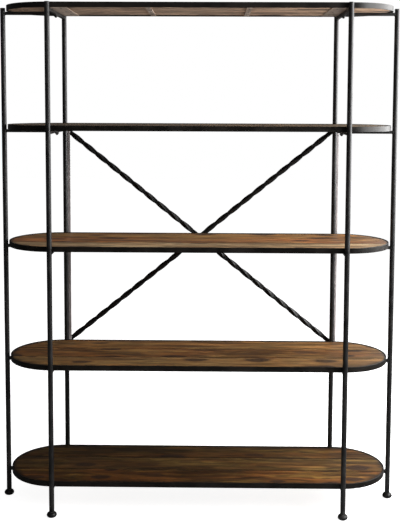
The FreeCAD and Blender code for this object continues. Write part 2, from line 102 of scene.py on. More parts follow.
# Places of the rows near an edge, and how far the top falls at each, as shares of the arris
ARRIS_PLACES = (0.0, 0.15, 0.5)
ARRIS_DROPS = (1.0, 0.47, 0.13, 0.0)
# Dirt beside the joints, and dirt with painted shade along the rim: its narrowest and widest reach, and how
# much further it spreads from the rim
DIRT_AND_SHADE_NARROW = 2 * MM
DIRT_AND_SHADE_WIDE = 11 * MM
RIM_DIRT_AND_SHADE_SPREAD = 2.5
# Painted light and shade along each shelf: X between which the boards' colour changes from its left to its
# right share
PAINTED_LIGHT_START = -0.2
PAINTED_LIGHT_END = 0.55

SIDE_BEAD = 2.0 * MM
SIDE_BEAD_OFFSET = 0.9 * MM
BAR_BEAD = 1.6 * MM
BEAD_STEP = 1.1 * MM

STUD_RADIUS = 4 * MM
STUD_PITCH = 1.25 * MM
STUD_THREAD_DEPTH = 0.36 * MM
STUD_CHAMFER = 0.8 * MM
STUD_OVERLAP = 0.5 * MM
SCREW_HEAD_RADIUS = 4 * MM
SCREW_HEAD_HEIGHT = 1.3 * MM
SCREW_SHANK_RADIUS = 2 * MM
SCREW_TIP_RADIUS = 0.3 * MM
SCREW_RECESS_FLOOR = 0.5 * MM
# Sorting cells, larger than a screw and smaller than the gaps between screws
SCREW_CELL_ACROSS = 20 * MM
SCREW_CELL_UP = 100 * MM


# Node helpers


def add(tree, kind, inputs=(), **settings):
    """A new node. inputs maps a socket's name or number to a value or to another node's output."""
    node = tree.nodes.new("ShaderNode" + kind)
    for name, value in settings.items():
        setattr(node, name, value)
    for key, value in dict(inputs).items():
        if isinstance(value, bpy.types.NodeSocket):
            tree.links.new(value, node.inputs[key])
        else:
            node.inputs[key].default_value = value
    return node


def calc(tree, operation, *values):
    return add(tree, "Math", dict(enumerate(values)), operation=operation).outputs[0]


def stretched(tree, vector, scale):
    return add(tree, "VectorMath", {0: vector, 1: scale}, operation="MULTIPLY").outputs[0]


def grain_noise(tree, vector, scale, detail=3.0, roughness=0.55):
    sockets = {"Vector": vector, "Scale": scale, "Detail": detail, "Roughness": roughness}
    return add(tree, "TexNoise", sockets).outputs["Fac"]


def ramped(tree, value, low, high, start=0.0, end=1.0):
    """A smooth step of value between low and high, from start to end."""
    sockets = {"Value": value, "From Min": low, "From Max": high, "To Min": start, "To Max": end}
    return add(tree, "MapRange", sockets, interpolation_type="SMOOTHSTEP").outputs["Result"]


def tinted(tree, share, first, second, mode="MIX"):
    return add(tree, "Mix", {0: share, 6: first, 7: second}, data_type="RGBA", blend_type=mode).outputs[2]


def new_group(name, inputs, outputs):
    """An empty node group with named sockets: (name, kind, default) in, (name, kind) out."""
    group = bpy.data.node_groups.new(name, "ShaderNodeTree")
    for label, kind, default in inputs:
        socket = group.interface.new_socket(label, in_out="INPUT", socket_type="NodeSocket" + kind)
        if default is not None:
            socket.default_value = default
    for label, kind in outputs:
        group.interface.new_socket(label, in_out="OUTPUT", socket_type="NodeSocket" + kind)
    return group, group.nodes.new("NodeGroupInput").outputs, group.nodes.new("NodeGroupOutput").inputs


def new_material(name, **plain):
    """A material with its Principled shader, with plain values set on the shader's own sockets."""
    material = bpy.data.materials.new(name)
    material.use_nodes = True
    tree = material.node_tree
    shader = tree.nodes["Principled BSDF"]
    for label, value in plain.items():
        shader.inputs[label.replace("_", " ")].default_value = value
    return material, tree, shader


# Shared surface effects


def make_rub_group():
    """Edges where the finish is rubbed thin: a mask that is 1 on sharp edges, broken up by noise."""
    group, given, out = new_group(
        "rubbed_edges",
        [("Width", "Float", 0.001), ("Breakup", "Float", 180.0)],
        [("Mask", "Float")])
    rounded = add(group, "Bevel", {"Radius": given["Width"]}, samples=4).outputs["Normal"]
    true_normal = add(group, "NewGeometry").outputs["Normal"]
    likeness = add(group, "VectorMath", {0: rounded, 1: true_normal}, operation="DOT_PRODUCT")
    edge = ramped(group, likeness.outputs["Value"], 0.995, 0.86)
    spot = add(group, "TexCoord").outputs["Object"]
    patches = ramped(group, grain_noise(group, spot, given["Breakup"], 4.0), 0.38, 0.62)
    group.links.new(calc(group, "MULTIPLY", edge, patches), out["Mask"])
    return group


def make_dust_group():
    """Thin dust on faces that look up, in soft drifts."""
    group, given, out = new_group(
        "settled_dust",
        [("Amount", "Float", 0.3), ("Drift", "Float", 9.0)],
        [("Mask", "Float")])
    geometry = add(group, "NewGeometry")
    height = add(group, "SeparateXYZ", {0: geometry.outputs["Normal"]}).outputs["Z"]
    upward = ramped(group, height, 0.55, 0.98)
    spot = add(group, "TexCoord").outputs["Object"]
    drift = ramped(group, grain_noise(group, spot, given["Drift"], 5.0, 0.62), 0.36, 0.72)
    dust = calc(group, "MULTIPLY", calc(group, "MULTIPLY", upward, drift), given["Amount"])
    group.links.new(dust, out["Mask"])
    return group


def make_patina_group():
    """Uneven dark finish on iron: broad clouds, hammer-scale flecks and warm rusty patches."""
    group, given, out = new_group(
        "iron_patina",
        [("Dark", "Color", (0.01, 0.01, 0.01, 1)), ("Light", "Color", (0.03, 0.03, 0.03, 1)),
         ("Rust", "Color", (0.05, 0.025, 0.012, 1)), ("Grain", "Float", 900.0)],
        [("Color", "Color"), ("Roughness", "Float"), ("Height", "Float")])
    spot = add(group, "TexCoord").outputs["Object"]
    clouds = grain_noise(group, spot, 14.0, 5.0, 0.6)
    flecks = grain_noise(group, spot, given["Grain"], 3.0, 0.6)
    scale_cells = add(group, "TexVoronoi", {"Vector": spot, "Scale": 260.0}).outputs["Distance"]
    warm = ramped(group, grain_noise(group, spot, 38.0, 4.0, 0.65), 0.6, 0.78, 0.0, 0.55)
    tone = tinted(group, ramped(group, clouds, 0.32, 0.7), given["Dark"], given["Light"])
    tone = tinted(group, warm, tone, given["Rust"])
    tone = tinted(group, ramped(group, flecks, 0.55, 0.75, 0.0, 0.4), tone, given["Light"])
    group.links.new(tone, out["Color"])
    sheen = calc(group, "ADD", ramped(group, clouds, 0.3, 0.7, 0.36, 0.52),
                 ramped(group, flecks, 0.4, 0.7, -0.03, 0.06))
    group.links.new(sheen, out["Roughness"])
    dents = calc(group, "MULTIPLY_ADD", scale_cells, 0.5, calc(group, "MULTIPLY", flecks, 0.35))
    group.links.new(dents, out["Height"])
    return group


def make_board_group():
    """Figure of a stained softwood board along X: growth rings, streaks, knots and pores.

    The vector is the board's own space, so that each board shows another part of its log.
    """
    group, given, out = new_group(
        "board_figure",
        [("Vector", "Vector", None), ("Early", "Color", (0.2, 0.1, 0.05, 1)),
         ("Late", "Color", (0.08, 0.035, 0.015, 1)), ("Warm", "Color", (0.2, 0.07, 0.03, 1)),
         ("Knot", "Color", (0.02, 0.01, 0.006, 1)), ("Left", "Float", 1.0), ("Right", "Float", 1.0)],
        [("Color", "Color"), ("Roughness", "Float"), ("Height", "Float")])
    spot = given["Vector"]

    # The fibres sway to and fro across the board, slowly and a little faster.
    swayed = spot
    for scale, reach in (((1.3, 5.0, 5.0), (0.0, 0.07, 0.07)), ((5.0, 13.0, 13.0), (0.0, 0.03, 0.03))):
        drift = add(group, "TexNoise", {"Vector": stretched(group, spot, scale), "Scale": 1.0, "Detail": 2.0})
        shift = stretched(group, drift.outputs["Color"], reach)
        swayed = add(group, "VectorMath", {0: swayed, 1: shift}, operation="ADD").outputs[0]

    # Knots: scattered cells of many sizes, long along the grain, of which some are kept.
    knot_space = stretched(group, spot, (4.4, 11.0, 11.0))
    cells = add(group, "TexVoronoi", {"Vector": knot_space, "Scale": 1.0, "Randomness": 0.9},
                voronoi_dimensions="2D")
    draw = add(group, "SeparateColor", {0: cells.outputs["Color"]}).outputs
    kept = ramped(group, draw[0], 0.5, 0.56)
    uneven = grain_noise(group, stretched(group, spot, (12.0, 30.0, 30.0)), 1.0, 2.0, 0.5)
    far = calc(group, "DIVIDE", cells.outputs["Distance"], calc(group, "ADD", draw[1], 0.5))
    far = calc(group, "ADD", far, ramped(group, uneven, 0.3, 0.7, -0.05, 0.05))
    near = calc(group, "MULTIPLY", ramped(group, far, 0.55, 0.1), kept)
    core = calc(group, "MULTIPLY", ramped(group, far, 0.25, 0.14), kept)
    knot_rings = calc(group, "SINE", calc(group, "MULTIPLY", far, 90.0))
    core = calc(group, "MULTIPLY", core, ramped(group, knot_rings, -1.0, 1.0, 0.8, 1.0))

    # Growth rings about a pith line, swaying with the fibres and bent round the knots.
    across = stretched(group, swayed, (0.0, 1.0, 1.0))
    reach = add(group, "VectorMath", {0: across}, operation="LENGTH").outputs["Value"]
    reach = calc(group, "MULTIPLY_ADD", near, 0.012, reach)
    wobble = grain_noise(group, stretched(group, spot, (6.0, 90.0, 90.0)), 1.0, 3.0)
    phase = calc(group, "MULTIPLY_ADD", reach, 150.0, calc(group, "MULTIPLY", wobble, 1.6))
    ring = calc(group, "FRACT", phase)
    late = calc(group, "MULTIPLY", ramped(group, ring, 0.35, 0.9), ramped(group, ring, 1.0, 0.93))

    # Streaks of three widths along the board, and uneven take-up of the stain.
    broad = grain_noise(group, stretched(group, swayed, (1.5, 25.0, 25.0)), 1.0, 3.0, 0.55)
    medium = grain_noise(group, stretched(group, swayed, (4.0, 150.0, 150.0)), 1.0, 3.0, 0.6)
    fibre = grain_noise(group, stretched(group, spot, (60.0, 1500.0, 1500.0)), 1.0, 2.0, 0.6)
    patches = grain_noise(group, stretched(group, swayed, (3.0, 18.0, 18.0)), 1.0, 4.0, 0.6)
    blotches = grain_noise(group, stretched(group, swayed, (4.5, 40.0, 40.0)), 1.0, 4.0, 0.6)

    tone = tinted(group, calc(group, "MULTIPLY", late, 0.7), given["Early"], given["Late"])
    tone = tinted(group, ramped(group, patches, 0.44, 0.58, 0.0, 0.9), tone, given["Warm"])
    tone = tinted(group, ramped(group, broad, 0.47, 0.6, 0.0, 0.9), tone, given["Late"])
    tone = tinted(group, ramped(group, medium, 0.49, 0.6, 0.0, 0.8), tone, given["Late"])
    tone = tinted(group, ramped(group, fibre, 0.5, 0.7, 0.0, 0.35), tone, given["Knot"])
    tone = tinted(group, 1.0, tone, ramped(group, blotches, 0.4, 0.58, 1.5, 0.66), "MULTIPLY")
    tone = tinted(group, calc(group, "MULTIPLY", near, 0.6), tone, given["Warm"])
    tone = tinted(group, calc(group, "MULTIPLY", core, 0.96), tone, given["Knot"])

    # Painted light and shade: the colour is lighter or darker towards the right end of the shelf.
    along = add(group, "SeparateXYZ", {0: add(group, "TexCoord").outputs["Object"]}).outputs["X"]
    painted_end_light = ramped(group, along, PAINTED_LIGHT_START, PAINTED_LIGHT_END, given["Left"], given["Right"])
    group.links.new(tinted(group, 1.0, tone, painted_end_light, "MULTIPLY"), out["Color"])

    gloss = calc(group, "MULTIPLY_ADD", late, -0.06, ramped(group, medium, 0.3, 0.7, 0.4, 0.54))
    group.links.new(gloss, out["Roughness"])
    relief = calc(group, "MULTIPLY_ADD", late, 0.45, calc(group, "MULTIPLY", fibre, -0.35))
    relief = calc(group, "MULTIPLY_ADD", core, -0.5, relief)
    group.links.new(relief, out["Height"])
    return group


def make_seam_group():
    """Dirt in the joints between the boards, and dirt with painted shade along the rim, wider in some places
    than in others.
    """
    group, _, out = new_group("seam_dirt_and_rim_shade", [], [("Mask", "Float")])
    spot = add(group, "TexCoord").outputs["Object"]
    place = add(group, "SeparateXYZ", {0: spot}).outputs
    across = calc(group, "ABSOLUTE", place["Y"])
    beyond = calc(group, "SUBTRACT", calc(group, "ABSOLUTE", place["X"]), RIM_HALF_STRAIGHT)
    beyond = calc(group, "MAXIMUM", beyond, 0.0)
    reach = calc(group, "MULTIPLY_ADD", beyond, beyond, calc(group, "MULTIPLY", across, across))
    to_rim = calc(group, "SUBTRACT", BOARD_RADIUS, calc(group, "SQRT", reach))
    to_rim = calc(group, "DIVIDE", to_rim, RIM_DIRT_AND_SHADE_SPREAD)
    to_joint = calc(group, "ABSOLUTE", calc(group, "SUBTRACT", across, SEAM_Y))
    uneven = grain_noise(group, stretched(group, spot, (9.0, 20.0, 9.0)), 1.0, 4.0, 0.6)
    width = ramped(group, uneven, 0.35, 0.65, DIRT_AND_SHADE_NARROW, DIRT_AND_SHADE_WIDE)
    gap = calc(group, "DIVIDE", calc(group, "MINIMUM", to_rim, to_joint), width)
    close = calc(group, "SUBTRACT", 1.0, calc(group, "MINIMUM", gap, 1.0))
    normal = add(group, "NewGeometry").outputs["Normal"]
    facing = add(group, "SeparateXYZ", {0: normal}).outputs["Z"]
    # Undersides take nearly as much, as painted shade beside the rim under the top shelf
    strength = ramped(group, facing, -0.2, 0.4, 0.75, 0.9)
    group.links.new(calc(group, "MULTIPLY", close, strength), out["Mask"])
    return group


RUBBED = make_rub_group()
SEAM = make_seam_group()
DUST = make_dust_group()
PATINA = make_patina_group()
BOARD = make_board_group()


# Finishes


DUST_ON_IRON = (0.22, 0.2, 0.175, 1)
DUST_ON_BOARDS = (0.3, 0.25, 0.19)
# Colour of the joint dirt, also the painted shade along the rim
DIRT_AND_RIM_SHADE_TONE = (0.012, 0.007, 0.004, 1)


def darkened(tone, share):
    """A colour with its three values multiplied by share."""
    return [value * share for value in tone] + [1]


def finish_surface(tree, shader, color, roughness, height, strength, depth):
    """Joins colour, roughness and relief to the shader."""
    tree.links.new(color, shader.inputs["Base Color"])
    tree.links.new(roughness, shader.inputs["Roughness"])
    bump = add(tree, "Bump", {"Strength": strength, "Distance": depth, "Height": height})
    tree.links.new(bump.outputs["Normal"], shader.inputs["Normal"])


def iron_finish(name, dark, light, rust, rubbed, grain=900.0, dust=0.3, rub_width=0.001, **plain):
    """Iron with an uneven patina, rubbed edges and settled dust. plain goes to the shader's own sockets."""
    material, tree, shader = new_material(name, **plain)
    tones = {"Dark": dark, "Light": light, "Rust": rust, "Grain": grain}
    patina = add(tree, "Group", tones, node_tree=PATINA)
    rub = add(tree, "Group", {"Width": rub_width}, node_tree=RUBBED).outputs["Mask"]
    drift = add(tree, "Group", {"Amount": dust}, node_tree=DUST).outputs["Mask"]
    tone = tinted(tree, rub, patina.outputs["Color"], rubbed)
    tone = tinted(tree, drift, tone, DUST_ON_IRON)
    rough = calc(tree, "MULTIPLY_ADD", drift, 0.35, patina.outputs["Roughness"])
    finish_surface(tree, shader, tone, rough, patina.outputs["Height"], 0.25, 0.0004)
    return material


def board_finish(name, early, late, warm, stain_and_shade, ends, dust=0.05):
    """Stained board. Its depth share darkens its tones alike, partly as real staining and partly as painted
    shade, and its two end shares are painted light and shade that set how light its ends look.
    """
    early, late, warm = (darkened(tone, stain_and_shade) for tone in (early, late, warm))
    left, right = ends
    material, tree, shader = new_material(
        name, Specular_IOR_Level=0.17, Sheen_Weight=0.015, Sheen_Roughness=0.3)
    space = add(tree, "Attribute", attribute_name="board_space").outputs["Vector"]
    tones = {"Vector": space, "Early": early, "Late": late, "Warm": warm, "Left": left, "Right": right}
    figure = add(tree, "Group", tones, node_tree=BOARD)
    rub = add(tree, "Group", {"Width": 0.003, "Breakup": 60.0}, node_tree=RUBBED).outputs["Mask"]
    drift = add(tree, "Group", {"Amount": dust, "Drift": 6.0}, node_tree=DUST).outputs["Mask"]
    seam = add(tree, "Group", node_tree=SEAM).outputs["Mask"]
    tone = tinted(tree, calc(tree, "MULTIPLY", rub, 0.4), figure.outputs["Color"], early)
    tone = tinted(tree, drift, tone, darkened(DUST_ON_BOARDS, stain_and_shade))
    tone = tinted(tree, seam, tone, DIRT_AND_RIM_SHADE_TONE)
    rough = calc(tree, "MULTIPLY_ADD", drift, 0.3, figure.outputs["Roughness"])
    finish_surface(tree, shader, tone, rough, figure.outputs["Height"], 0.22, 0.0008)
    return material


IRON = iron_finish("blackened_iron", (0.006, 0.006, 0.0065, 1), (0.02, 0.019, 0.0185, 1),
                   (0.022, 0.015, 0.011, 1), (0.09, 0.085, 0.08, 1), Specular_IOR_Level=0.45)
RIM_IRON = iron_finish("brown_black_rim_iron", (0.0035, 0.0026, 0.0018, 1), (0.011, 0.008, 0.0055, 1),
                       (0.016, 0.01, 0.006, 1), (0.04, 0.034, 0.028, 1), dust=0.0, Specular_IOR_Level=0.36)
BRACE_IRON = iron_finish("forged_brace_iron", (0.004, 0.004, 0.004, 1), (0.012, 0.0115, 0.011, 1),
                         (0.014, 0.01, 0.008, 1), (0.04, 0.038, 0.036, 1), dust=0.1, Specular_IOR_Level=0.2)
# Painted highlight: the brace uprights' light grey stands in for the light from the right caught on their
# faces.
UPRIGHT_IRON_PAINTED_HIGHLIGHT = iron_finish("upright_iron_painted_highlight", (0.36, 0.33, 0.33, 1), (0.62, 0.575, 0.575, 1),
                           (0.26, 0.21, 0.19, 1), (0.6, 0.57, 0.55, 1), dust=0.05, Specular_IOR_Level=0.3)
# Lighter bare iron straps; their warm pinkish tone is a painted reflection of the boards.
STRAP_IRON_AND_PAINTED_REFLECTION = iron_finish("bare_strap_iron_painted_reflection", (0.26, 0.19, 0.145, 1), (0.48, 0.375, 0.3, 1),
                         (0.24, 0.15, 0.1, 1), (0.55, 0.46, 0.4, 1), dust=0.05, Specular_IOR_Level=0.35)
FASTENER_IRON = iron_finish("blackened_fasteners", (0.008, 0.008, 0.008, 1), (0.028, 0.027, 0.026, 1),
                            (0.03, 0.019, 0.013, 1), (0.14, 0.135, 0.13, 1), rub_width=0.0008,
                            Specular_IOR_Level=0.4)
FOOT_IRON = iron_finish("cast_foot_iron", (0.006, 0.006, 0.006, 1), (0.016, 0.0155, 0.015, 1),
                        (0.016, 0.011, 0.009, 1), (0.05, 0.048, 0.046, 1), grain=1500.0, dust=0.04,
                        Specular_IOR_Level=0.35)
STEEL = iron_finish("dulled_zinc", (0.12, 0.12, 0.118, 1), (0.26, 0.258, 0.25, 1),
                    (0.1, 0.085, 0.07, 1), (0.4, 0.4, 0.39, 1), dust=0.05, rub_width=0.0006, Metallic=0.9)

# Early wood, late wood and warm patches of each tone of stain
BOARD_COLOURS = {
    "olive": ((0.32, 0.186, 0.05), (0.1, 0.052, 0.016), (0.27, 0.12, 0.034)),
    "tan": ((0.42, 0.24, 0.082), (0.15, 0.07, 0.02), (0.36, 0.155, 0.042)),
    "russet": ((0.37, 0.185, 0.062), (0.125, 0.05, 0.015), (0.34, 0.12, 0.033)),
    "ash": ((0.44, 0.31, 0.17), (0.2, 0.125, 0.06), (0.38, 0.22, 0.1)),
    "rose": ((0.4, 0.24, 0.085), (0.16, 0.083, 0.027), (0.33, 0.158, 0.05)),
    "grey": ((0.31, 0.23, 0.145), (0.12, 0.082, 0.047), (0.26, 0.17, 0.095)),
    "blush": ((0.47, 0.335, 0.23), (0.2, 0.125, 0.08), (0.4, 0.25, 0.16)),
    "ember": ((0.47, 0.25, 0.055), (0.11, 0.047, 0.013), (0.44, 0.155, 0.034)),
    "moss": ((0.32, 0.182, 0.045), (0.075, 0.038, 0.012), (0.27, 0.11, 0.028)),
    "umber": ((0.27, 0.142, 0.043), (0.075, 0.034, 0.01), (0.23, 0.09, 0.023)),
}
# Painted light and shade: share of the colour at the left and right end of each shelf
END_PAINTED_LIGHT = {1: (0.95, 1.35), 2: (1.0, 1.0), 3: (1.1, 0.95), 4: (1.08, 0.93), 5: (0.92, 1.6)}
# Tone and depth share of the rear, middle and front board of each shelf. The depth is partly real staining
# and partly painted shade: the two lowest shelves are darker as painted shade of the shelves above them, and
# the greyer boards of shelf 2 are partly a painted reflection of glare.
BOARD_TONES = {
    1: (("blush", 1.15), ("blush", 1.3), ("blush", 1.2)),
    2: (("grey", 0.78), ("ash", 0.56), ("grey", 0.82)),
    3: (("tan", 1.0), ("russet", 1.1), ("ash", 1.05)),
    4: (("tan", 0.75), ("umber", 0.8), ("rose", 0.72)),
    5: (("moss", 0.26), ("olive", 0.36), ("ember", 0.275)),
}


# Mesh helpers


def skin(rings, loop=False):
    """Points and faces of a surface through rings of equally many points. Open ends get a cap each."""
    count = len(rings[0])
    points = [point for ring in rings for point in ring]
    faces = []
    for start in range(len(rings) if loop else len(rings) - 1):
        here, there = start * count, (start + 1) % len(rings) * count
        for side in range(count):
            after = (side + 1) % count
            faces.append((here + side, here + after, there + after, there + side))
    if not loop:
        faces.append(tuple(reversed(range(count))))
        faces.append(tuple(range(len(points) - count, len(points))))
    return points, faces


def joined(parts):
    """Several (points, faces) as one."""
    points, faces = [], []
    for part_points, part_faces in parts:
        start = len(points)
        points += part_points
        faces += [tuple(start + corner for corner in face) for face in part_faces]
    return points, faces


def moved(part, matrix):
    points, faces = part
    return [matrix @ point for point in points], faces


def turned(outline, sides):
    """A turned shape about Z through (radius, height) corners, from its lower to its upper end."""
    rings = []
    for radius, height in outline:
        ring = []
        for step in range(sides):
            angle = 2 * math.pi * step / sides
            ring.append(Vector((radius * math.cos(angle), radius * math.sin(angle), height)))
        rings.append(ring)
    return skin(rings)


def piece(name, part, material, body, replaced=(), sharp_angle=40):
    """A mesh object that rides on a body, takes its finish from a slot and stands for CAD nodes."""
    points, faces = part
    mesh = bpy.data.meshes.new(name)
    mesh.from_pydata([tuple(point) for point in points], [], faces)
    mesh.materials.append(material)
    mesh.shade_smooth()
    mesh.set_sharp_from_angle(angle=math.radians(sharp_angle))
    made = bpy.data.objects.new(name, mesh)
    bpy.context.scene.collection.objects.link(made)
    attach(made, body)
    if replaced:
        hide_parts(*replaced)
    return made


def even_normals(made):
    """Wide faces keep their own normals and the narrow eased edges turn between them."""
    made.modifiers.new("even_normals", "WEIGHTED_NORMAL").keep_sharp = True


def ease_edges(node, width):
    """Rounds the edges of a CAD node as it is shown."""
    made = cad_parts[node]
    weld = made.modifiers.new("joined_faces", "WELD")
    weld.merge_threshold = 0.00001
    bevel = made.modifiers.new("eased_edges", "BEVEL")
    bevel.width = width
    bevel.segments = 2
    bevel.limit_method = "ANGLE"
    bevel.angle_limit = math.radians(40)
    even_normals(made)


def coat(node, material):
    """Gives a CAD node its finish."""
    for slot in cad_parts[node].material_slots:
        slot.material = material


# Iron rims


def oval_path(half_straight, radius, turn_steps, straight_steps):
    """Points and outward directions round a straight-sided oval, anticlockwise from the front right."""
    path = []
    for centre, start in ((half_straight, -90), (-half_straight, 90)):
        for step in range(turn_steps + 1):
            angle = math.radians(start + 180 * step / turn_steps)
            outward = Vector((math.cos(angle), math.sin(angle), 0))
            path.append((Vector((centre, 0, 0)) + radius * outward, outward))
        last, outward = path[-1]
        for step in range(1, straight_steps):
            along = Vector((-2 * centre * step / straight_steps, 0, 0))
            path.append((last + along, outward))
    return path


def eased_rectangle(width, height, edge, steps):
    """Outline of a flat bar's section, from (0, 0) inwards to -width and up to height."""
    outline = []
    corners = ((-edge, edge, -90), (-edge, height - edge, 0),
               (edge - width, height - edge, 90), (edge - width, edge, 180))
    for across, up, start in corners:
        for step in range(steps + 1):
            angle = math.radians(start + 90 * step / steps)
            outline.append((across + edge * math.cos(angle), up + edge * math.sin(angle)))
    return outline


def make_rim(shelf):
    """Flat bar with eased edges, bent into an oval."""
    node = f"shelf_{shelf}_rim"
    low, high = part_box(node)
    section = eased_rectangle(RIM_THICKNESS, high.z - low.z, RIM_EDGE, steps=3)
    rings = []
    for spot, outward in oval_path(RIM_HALF_STRAIGHT, RIM_RADIUS, turn_steps=56, straight_steps=24):
        rings.append([spot + across * outward + Vector((0, 0, low.z + up)) for across, up in section])
    made = piece(f"shelf_{shelf}_bent_rim", skin(rings, loop=True), RIM_IRON, "frame", [node])
    even_normals(made)


# Boards


def with_arrises(inner, low, high, arris):
    """Places from low to high: the given inner ones, and rows close together at the arris on each side."""
    edge = [share * arris for share in ARRIS_PLACES]
    return [low + e for e in edge] + inner + [high - e for e in reversed(edge)]


def board_rows(low_y, high_y):
    """Places across a board, even in angle round its end."""
    steps = 16
    first = math.asin(max(-1.0, (low_y + BOARD_ARRIS) / BOARD_RADIUS))
    last = math.asin(min(1.0, (high_y - BOARD_ARRIS) / BOARD_RADIUS))
    inner = [BOARD_RADIUS * math.sin(first + (last - first) * step / steps) for step in range(steps + 1)]
    return with_arrises(inner, low_y, high_y, BOARD_ARRIS)


def board_columns(reach):
    """Places along a board that reaches equally far to both sides."""
    steps = 116
    inner = [(reach - BOARD_ARRIS) * (2 * step / steps - 1) for step in range(steps + 1)]
    return with_arrises(inner, -reach, reach, BOARD_ARRIS)


def arris_drop(index, count):
    """How far the top falls near an edge, as a share of the arris, by the place in the grid."""
    from_edge = min(index, count - 1 - index)
    return ARRIS_DROPS[min(from_edge, len(ARRIS_DROPS) - 1)]


def make_board(shelf, row, tone, stain_and_shade):
    """Board with worn arrises and a slightly wavy planed top, its ends cut to the round of the rim."""
    node = f"shelf_{shelf}_{row}_plank"
    low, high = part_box(node)
    chance = random.Random(f"{node} log")
    shift = Vector((chance.uniform(-9, 9), chance.uniform(-0.05, 0.05), chance.uniform(0.05, 0.12)))
    turn = chance.choice((-1, 1))
    rows = board_rows(low.y, high.y)
    tops, unders = [], []
    for row_index, y in enumerate(rows):
        reach = RIM_HALF_STRAIGHT + math.sqrt(max(BOARD_RADIUS ** 2 - y ** 2, 0.0))
        columns = board_columns(reach)
        for column_index, x in enumerate(columns):
            drop = max(arris_drop(row_index, len(rows)), arris_drop(column_index, len(columns)))
            wear = 0.75 + 0.6 * noise.noise(Vector((x * 22, y * 22, shelf * 3.1)))
            wave = PLANE_WAVE * noise.noise(Vector((x * 5, y * 28, shelf * 7.7)))
            wave += PLANE_RIPPLE * noise.noise(Vector((x * 30, y * 60, shelf * 1.9)))
            tops.append(Vector((x, y, high.z - BOARD_SINK + wave - drop * BOARD_ARRIS * wear)))
            unders.append(Vector((x, y, low.z + drop * BOARD_UNDER_ARRIS)))
    slab = closed_grid(tops, unders, len(rows), len(columns))
    finish = board_finish(f"shelf_{shelf}_{row}_{tone}_stain", *BOARD_COLOURS[tone], stain_and_shade, END_PAINTED_LIGHT[shelf])
    made = piece(f"shelf_{shelf}_{row}_board", slab, finish, "frame", [node], sharp_angle=60)
    middle = (low + high) / 2
    space = made.data.attributes.new("board_space", "FLOAT_VECTOR", "POINT")
    for item, vertex in zip(space.data, made.data.vertices):
        place = vertex.co - middle
        item.vector = Vector((turn * place.x, turn * place.y, place.z)) + shift


def closed_grid(tops, unders, row_count, column_count):
    """A slab between two grids of points, with its sides closed."""
    below = len(tops)
    faces = []
    for row in range(row_count - 1):
        for column in range(column_count - 1):
            corner = row * column_count + column
            above = (corner, corner + 1, corner + column_count + 1, corner + column_count)
            faces.append(above)
            faces.append(tuple(below + index for index in reversed(above)))
    border = list(range(column_count))
    border += [row * column_count + column_count - 1 for row in range(1, row_count)]
    border += [(row_count - 1) * column_count + column for column in reversed(range(column_count - 1))]
    border += [row * column_count for row in reversed(range(1, row_count - 1))]
    for here, there in zip(border, border[1:] + border[:1]):
        faces.append((there, here, below + here, below + there))
    return tops + unders, faces


# Welds


def bead(path, radius, chance):
    """A rippled bead of weld along a path, thinner at its two ends."""
    sides = 8
    rings = []
    for index, spot in enumerate(path):
        before, after = path[max(index - 1, 0)], path[min(index + 1, len(path) - 1)]
        along = (after - before).normalized()
        across = along.orthogonal().normalized()
        up = along.cross(across)
        ends = min(index, len(path) - 1 - index)
        swell = min(1.0, 0.45 + 0.3 * ends) * (0.86 + 0.14 * (index % 2)) * chance.uniform(0.92, 1.08)
        ring = []
        for step in range(sides):
            angle = 2 * math.pi * step / sides
            ring.append(spot + radius * swell * (math.cos(angle) * across + math.sin(angle) * up))
        rings.append(ring)
    return skin(rings)


def straight_path(start, end):
    """Evenly spaced points from start to end."""
    count = max(2, round((end - start).length / BEAD_STEP))
    return [start.lerp(end, step / count) for step in range(count + 1)]


def post_beads(low_z, high_z, chance):
    """Two upright beads where each post stands against the side of a rim."""
    beads = []
    reach = 0.5 * POST_RADIUS
    for _, side in SIDES:
        for end in FRONT_AND_REAR:
            for edge in (-1, 1):
                spot = Vector((side * POST_X + edge * reach, end * (RIM_RADIUS + SIDE_BEAD_OFFSET), 0))
                lower, upper = spot + Vector((0, 0, low_z)), spot + Vector((0, 0, high_z))
                beads.append(bead(straight_path(lower, upper), SIDE_BEAD, chance))
    return beads


def coped_bead(post, inward, low, high, chance):
    """Bead round three sides of a square bar where its coped end meets a post."""
    steps = 8
    across = Vector((-inward.y, inward.x, 0))
    spread = math.asin((high.z - low.z) / 2 / POST_RADIUS)

    def on_post(angle, z):
        return post + POST_RADIUS * (math.sin(angle) * across + math.cos(angle) * inward) + Vector((0, 0, z))

    path = straight_path(on_post(-spread, high.z - BAR_BEAD), on_post(-spread, low.z))
    path += [on_post(spread * (2 * step / steps - 1), low.z) for step in range(1, steps)]
    path += straight_path(on_post(spread, low.z), on_post(spread, high.z - BAR_BEAD))
    return bead(path, BAR_BEAD, chance)


def butt_bead(x, low, high, chance):
    """Bead round three sides of an end bar where it meets the side of a cross bar."""
    half = (high.z - low.z) / 2
    corners = [Vector((x, -half, high.z - BAR_BEAD)), Vector((x, -half, low.z)),
               Vector((x, half, low.z)), Vector((x, half, high.z - BAR_BEAD))]
    path = corners[:1]
    for here, there in zip(corners, corners[1:]):
        path += straight_path(here, there)[1:]
    return bead(path, BAR_BEAD, chance)


def bar_beads(shelf, chance):
    """Beads at the ends of the cross bars and end bars under a shelf."""
    beads = []
    for side_name, side in SIDES:
        low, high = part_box(f"{side_name}_cross_bar_{shelf}")
        for end in FRONT_AND_REAR:
            post = Vector((side * POST_X, end * POST_Y, 0))
            beads.append(coped_bead(post, Vector((0, -end, 0)), low, high, chance))
        beads.append(coped_bead(Vector((side * END_POST_X, 0, 0)), Vector((-side, 0, 0)), low, high, chance))
        beads.append(butt_bead(high.x if side > 0 else low.x, low, high, chance))
    return beads


def make_welds(shelf):
    """All weld beads of one shelf."""
    chance = random.Random(f"welds of shelf {shelf}")
    low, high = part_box(f"shelf_{shelf}_rim")
    beads = post_beads(low.z + SIDE_BEAD, high.z - SIDE_BEAD, chance) + bar_beads(shelf, chance)
    piece(f"shelf_{shelf}_weld_beads", joined(beads), IRON, "frame", sharp_angle=80)


# Fasteners


